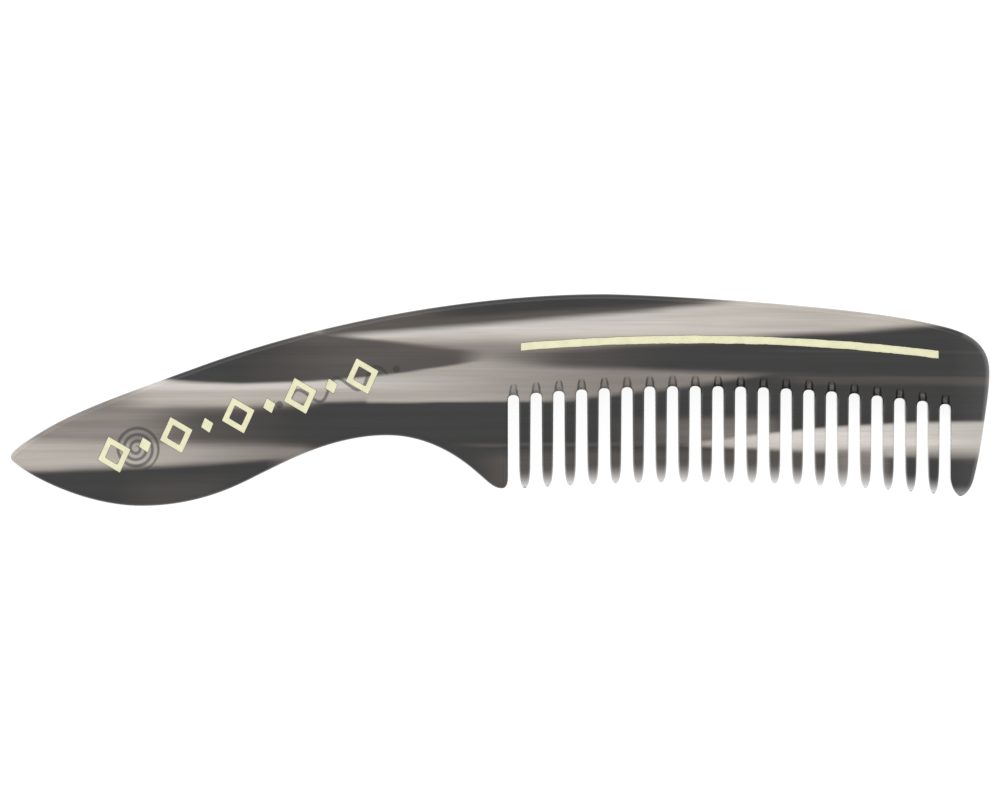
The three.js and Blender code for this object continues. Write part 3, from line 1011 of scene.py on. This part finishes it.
STREAK_SOCKETS = PLACE_SOCKETS + START_SOCKETS + END_SOCKETS + BORDER_SOCKETS + ["Fill"]


def streak_group():
    """The node group that lays one streak over a colour."""
    tree = bpy.data.node_groups.new("streak", "ShaderNodeTree")
    for name in ("Below", "Tone"):
        tree.interface.new_socket(name=name, in_out="INPUT", socket_type="NodeSocketColor")
    for name in STREAK_SOCKETS:
        tree.interface.new_socket(name=name, in_out="INPUT", socket_type="NodeSocketFloat")
    tree.interface.new_socket(name="Above", in_out="OUTPUT", socket_type="NodeSocketColor")
    graph = Graph(tree)
    given = graph.add("NodeGroupInput").outputs
    along = graph.math("SUBTRACT", given["X"], given["Start X"])
    span = graph.math("SUBTRACT", given["End X"], given["Start X"])
    share = graph.math("DIVIDE", along, span)
    hump = graph.math("MULTIPLY", graph.math("MULTIPLY", share, 4), graph.math("SUBTRACT", 1, share))

    def border(side):
        slope = graph.math("SUBTRACT", given[f"End {side}"], given[f"Start {side}"])
        straight = graph.math("MULTIPLY_ADD", slope, share, given[f"Start {side}"])
        return graph.math("MULTIPLY_ADD", given[f"{side.capitalize()} bow"], hump, straight)

    def edge(inward, soft):
        half = graph.math("MULTIPLY", soft, 0.5)
        return graph.ramp(inward, graph.math("MULTIPLY", half, -1), half)

    below_top = edge(graph.math("SUBTRACT", border("top"), given["Y"]), given["Top soft"])
    above_bottom = edge(graph.math("SUBTRACT", given["Y"], border("bottom")), given["Bottom soft"])
    past_start = graph.ramp(along, 0, given["Start soft"])
    before_end = graph.ramp(graph.math("SUBTRACT", given["End X"], given["X"]), 0, given["End soft"])
    mask = graph.product(given["Fill"], below_top, above_bottom, past_start, before_end)
    above = graph.mix(mask, given["Below"], given["Tone"])
    graph.put(graph.add("NodeGroupOutput").inputs["Above"], above)
    return tree


def lay_streaks(graph, x, y, colour):
    """Lays all the streaks over a colour, one after another."""
    group = streak_group()
    names = ["Below", "Tone"] + STREAK_SOCKETS
    for layer in STREAKS:
        node = graph.add("ShaderNodeGroup")
        node.node_tree = group
        for name, value in zip(names, (colour, layer["tone"], x, y, *layer["lies"])):
            graph.put(node.inputs[name], value)
        colour = node.outputs["Above"]
    return colour


def volute_shadow(graph, x, y):
    """The shadow of the back's volute through the sheet: 1 on its line and 0 off it, soft-edged."""
    from_x = graph.math("SUBTRACT", x, VOLUTE["x"])
    from_y = graph.math("SUBTRACT", y, VOLUTE["y"])
    reach = graph.length(from_x, from_y)
    turns = graph.math("DIVIDE", graph.math("ARCTAN2", from_y, from_x), 2 * math.pi)
    pitch = (VOLUTE["outer"] - VOLUTE["inner"]) / VOLUTE["turns"]
    wound = graph.math("DIVIDE", graph.math("SUBTRACT", VOLUTE["outer"], reach), pitch)
    from_line = graph.math("PINGPONG", graph.math("SUBTRACT", wound, turns), 0.5)
    line = graph.ramp(graph.math("MULTIPLY", from_line, pitch), *LINE_FADE, 1, 0)
    return graph.product(line, graph.ramp(reach, *VOLUTE_RIM, 1, 0), graph.ramp(reach, *VOLUTE_EYE))


def wave_shadow(graph, point):
    """The same for the back's wave and its two dots."""
    centred = graph.mapped(point, shift=(-WAVE["x"], -WAVE["y"], 0))
    along, across, _ = split(graph, graph.mapped(centred, turn=-WAVE["tilt"]))
    turn_rate = 2 * math.pi * WAVE["periods"] / WAVE["length"]
    phase = graph.math("MULTIPLY", graph.math("ADD", along, WAVE["length"] / 2), turn_rate)
    height = graph.math("MULTIPLY", graph.math("SINE", phase), WAVE["height"])
    slope = graph.math("MULTIPLY", graph.math("COSINE", phase), WAVE["height"] * turn_rate)
    steepness = graph.math("SQRT", graph.math("MULTIPLY_ADD", slope, slope, 1))
    above_line = graph.math("ABSOLUTE", graph.math("SUBTRACT", across, height))
    line = graph.ramp(graph.math("DIVIDE", above_line, steepness), *LINE_FADE, 1, 0)
    far = graph.math("ABSOLUTE", along)
    line = graph.math("MULTIPLY", line, graph.ramp(far, *WAVE_END, 1, 0))
    from_dot = graph.length(graph.math("SUBTRACT", far, DOT_SPACING), across)
    return graph.math("MAXIMUM", line, graph.ramp(from_dot, *DOT_RIM, 1, 0))


def painted_groove_light(graph, x, y, scuffs_and_shade):
    """Where the filed grooves at the gap ends get painted shade at their sides, and where their
    middles get a painted glint.
    """
    # off_middle is how far a point is from the nearest groove's middle, and above is how far it is
    # past the gap's end.
    from_gap = graph.math("MODULO", graph.math("SUBTRACT", x, gap_x(0) - PITCH / 2), PITCH)
    off_middle = graph.math("ABSOLUTE", graph.math("SUBTRACT", from_gap, PITCH / 2))
    from_crown = graph.math("SUBTRACT", x, BOW_X)
    drop = graph.math("DIVIDE", graph.math("POWER", from_crown, 2), 2 * ROOT_BOW["radius"])
    above = graph.math("SUBTRACT", graph.math("ADD", y, drop), ROOT_BOW["crown"])
    half_width = graph.math("MULTIPLY_ADD", above, -GROOVE_NARROWING, GROOVE_HALF_WIDTH)
    off_side = graph.math("ABSOLUTE", graph.math("SUBTRACT", off_middle, half_width))
    from_row_middle = graph.math("ABSOLUTE", graph.math("SUBTRACT", x, gap_x(TEETH / 2)))
    in_row = graph.math("LESS_THAN", from_row_middle, TEETH / 2 * PITCH + GAP_RADIUS)

    def shading(part, off_line):
        return graph.product(
            in_row,
            graph.ramp(off_line, *part["reach"], 1, 0),
            graph.ramp(above, *part["foot"]),
            graph.ramp(above, *part["top"], 1, 0),
            graph.ramp(scuffs_and_shade, *part["scuffs_and_shade"]),
        )

    return shading(GROOVE_SHADE, off_side), shading(GROOVE_GLINT, off_middle)


def split(graph, vector):
    """The X, Y and Z of a vector."""
    node = graph.add("ShaderNodeSeparateXYZ")
    graph.put(node.inputs[0], vector)
    return node.outputs


def marbled_acetate():
    """The sheet: soft streaks under a hand polish, with its painted shadows, the painted shade and
    glints of its filed grooves, and painted light in its clear places.
    """
    material, graph, shader, point = new_material("marbled_acetate")
    x, y, z = split(graph, point)

    # The streaks lie a little aslant in the sheet's thickness, waver, and have fine hairs.
    waver = graph.pattern(point, **WAVERING)
    hairs = graph.pattern(point, **HAIRS)
    from_front = graph.math("SUBTRACT", THICKNESS, z)
    shifted = graph.math("MULTIPLY_ADD", graph.math("SUBTRACT", waver, 0.5), WAVER, y)
    shifted = graph.math("MULTIPLY_ADD", graph.math("SUBTRACT", hairs, 0.5), HAIR_SHIFT, shifted)
    shifted = graph.math("MULTIPLY_ADD", from_front, -LAYER_SLANT, shifted)
    colour = lay_streaks(graph, x, shifted, TAUPE)

    # Cloudiness and fine threads run along the streaks.
    cloud = graph.ramp(graph.pattern(point, **CLOUDS), *MIDDLING, *CLOUD_TONES)
    thread = graph.ramp(graph.pattern(point, **THREADS), *MIDDLING, *THREAD_TONES)
    colour = scaled(graph, colour, graph.math("MULTIPLY", cloud, thread))

    # The back's fine dark lines show through the sheet as soft shadows.
    marks = graph.math("MAXIMUM", volute_shadow(graph, x, y), wave_shadow(graph, point))
    facing = split(graph, graph.add("ShaderNodeNewGeometry").outputs["True Normal"])[2]
    marks = graph.math("MULTIPLY", marks, graph.ramp(facing, *FACING_UP, 0, BACK_SHOWS))
    colour = graph.mix(marks, colour, SMOKE)

    # Painted shade darkens the sides of each filed groove, a painted glint lightens its middle, and
    # thin places get painted light where the light comes through.
    scuffs_and_shade = graph.pattern(point, **SCUFFS)
    painted_groove_shade, painted_groove_glint = painted_groove_light(graph, x, y, scuffs_and_shade)
    colour = graph.mix(painted_groove_shade, colour, SMOKE)
    colour = graph.mix(painted_groove_glint, colour, PAINTED_GLINT)
    # Painted light: the stored share lightens the colour where light would come through thin places.
    clear = graph.add("ShaderNodeAttribute", attribute_name="clear").outputs["Fac"]
    colour = graph.mix(clear, colour, PAINTED_BACKLIGHT)
    graph.put(shader.inputs["Base Color"], colour)

    # Hand polish: even but not perfect, with faint scratches that mostly follow the comb.
    scratches = graph.pattern(point, **SCRATCHES)
    rough = graph.ramp(graph.pattern(point, **SMEARS), *MIDDLING, *POLISH_ROUGHNESS)
    rough = graph.math("ADD", rough, graph.ramp(scratches, *SCRATCH_ROUGHNESS))
    rough = graph.math("ADD", rough, graph.ramp(scuffs_and_shade, *SCUFF_ROUGHNESS))
    graph.put(shader.inputs["Roughness"], rough)
    uneven = graph.bump(graph.pattern(point, **POLISH_WAVES), *WAVE_BUMP)
    graph.put(shader.inputs["Normal"], graph.bump(scratches, *SCRATCH_BUMP, uneven))
    shader.inputs["IOR"].default_value = ACETATE_IOR
    return material


def scaled(graph, colour, factor):
    """A colour made lighter or darker by a factor."""
    node = graph.add("ShaderNodeVectorMath", operation="SCALE")
    graph.put(node.inputs[0], colour)
    graph.put(node.inputs["Scale"], factor)
    return node.outputs[0]


def filled_enamel(name, tone, tones, rough):
    """Enamel or ink wiped into a recess: a little uneven in colour, with pits and a dull skin."""
    material, graph, shader, point = new_material(name)
    patches = graph.pattern(point, **PATCHES)
    grain = graph.pattern(point, **GRAIN)
    shade = graph.ramp(patches, *MIDDLING, *tones)
    speckle = graph.ramp(grain, *MIDDLING, *GRAIN_TONES)
    colour = scaled(graph, tone[:3], graph.math("MULTIPLY", shade, speckle))
    pits = graph.ramp(graph.pattern(point, **PITS), *PIT_SPAN)
    colour = graph.mix(graph.math("MULTIPLY", pits, PIT_SHARE), colour, TAUPE)
    graph.put(shader.inputs["Base Color"], colour)
    smoothest, roughest = (rough + change for change in SKIN_ROUGHNESS)
    graph.put(shader.inputs["Roughness"], graph.ramp(patches, *MIDDLING, smoothest, roughest))
    skin = graph.bump(graph.pattern(point, **SKIN), *SKIN_BUMP)
    graph.put(shader.inputs["Normal"], graph.bump(grain, *SCRATCH_BUMP, skin))
    return material


# ---------------------------------------------------------------- camera, light and table
# The camera's sensor and lens are in millimetres; the rest is in metres and watts.
SENSOR = 36
LENS = 300
VIEW_WIDTH = 0.16845
CLIP_START = 0.05
CLIP_END = 20
TABLE_HALF_WIDTH = 3
TABLE_GAP = 0.0002
TABLE_TONE = 0.25
TABLE_ROUGHNESS = 0.9
TABLE_GLOW = 0.9
ROOM_LIGHT = 0.8
SOFTBOX_SIZE = (1.6, 1.2)
SOFTBOX_POWER = 6
SOFTBOX_PLACE = (-0.35, 0.6, 1.0)
WHITE = (1, 1, 1, 1)


def make_camera():
    """A long lens straight above the comb's middle."""
    low, high = cad_box
    centre = (low + high) / 2
    data = bpy.data.cameras.new("camera")
    data.sensor_width = SENSOR
    data.lens = LENS
    data.clip_start = CLIP_START
    data.clip_end = CLIP_END
    camera = bpy.data.objects.new("camera", data)
    bpy.context.scene.collection.objects.link(camera)
    camera.location = (centre.x, centre.y, high.z + VIEW_WIDTH * LENS / SENSOR)
    bpy.context.scene.camera = camera


def make_table():
    """A wide pale table just under the comb, which glows so that it stays white to its edges."""
    bm = bmesh.new()
    bmesh.ops.create_grid(bm, x_segments=1, y_segments=1, size=TABLE_HALF_WIDTH)
    table = mesh_object("table", bm)
    material = bpy.data.materials.new("pale_table")
    material.use_nodes = True
    shader = material.node_tree.nodes["Principled BSDF"]
    shader.inputs["Base Color"].default_value = (TABLE_TONE, TABLE_TONE, TABLE_TONE, 1)
    shader.inputs["Roughness"].default_value = TABLE_ROUGHNESS
    shader.inputs["Emission Color"].default_value = WHITE
    shader.inputs["Emission Strength"].default_value = TABLE_GLOW
    table.data.materials.append(material)
    table.location.z = -TABLE_GAP


def make_lights():
    """An evenly lit room and one softbox, up and to the left."""
    world = bpy.data.worlds.new("soft_room")
    world.use_nodes = True
    background = world.node_tree.nodes["Background"]
    background.inputs["Color"].default_value = WHITE
    background.inputs["Strength"].default_value = ROOM_LIGHT
    bpy.context.scene.world = world
    data = bpy.data.lights.new("softbox", "AREA")
    data.shape = "RECTANGLE"
    data.size, data.size_y = SOFTBOX_SIZE
    data.energy = SOFTBOX_POWER
    softbox = bpy.data.objects.new("softbox", data)
    bpy.context.scene.collection.objects.link(softbox)
    softbox.location = SOFTBOX_PLACE
    aim = -softbox.location
    softbox.rotation_euler = aim.to_track_quat("-Z", "Y").to_euler()


bpy.context.scene.view_settings.view_transform = "Standard"
make_camera()
make_table()
make_lights()

make_comb(marbled_acetate())
make_fills(
    filled_enamel("cream_enamel", CREAM, tones=(0.95, 1.04), rough=0.42),
    filled_enamel("dark_ink", INK, tones=(0.8, 1.25), rough=0.38),
)
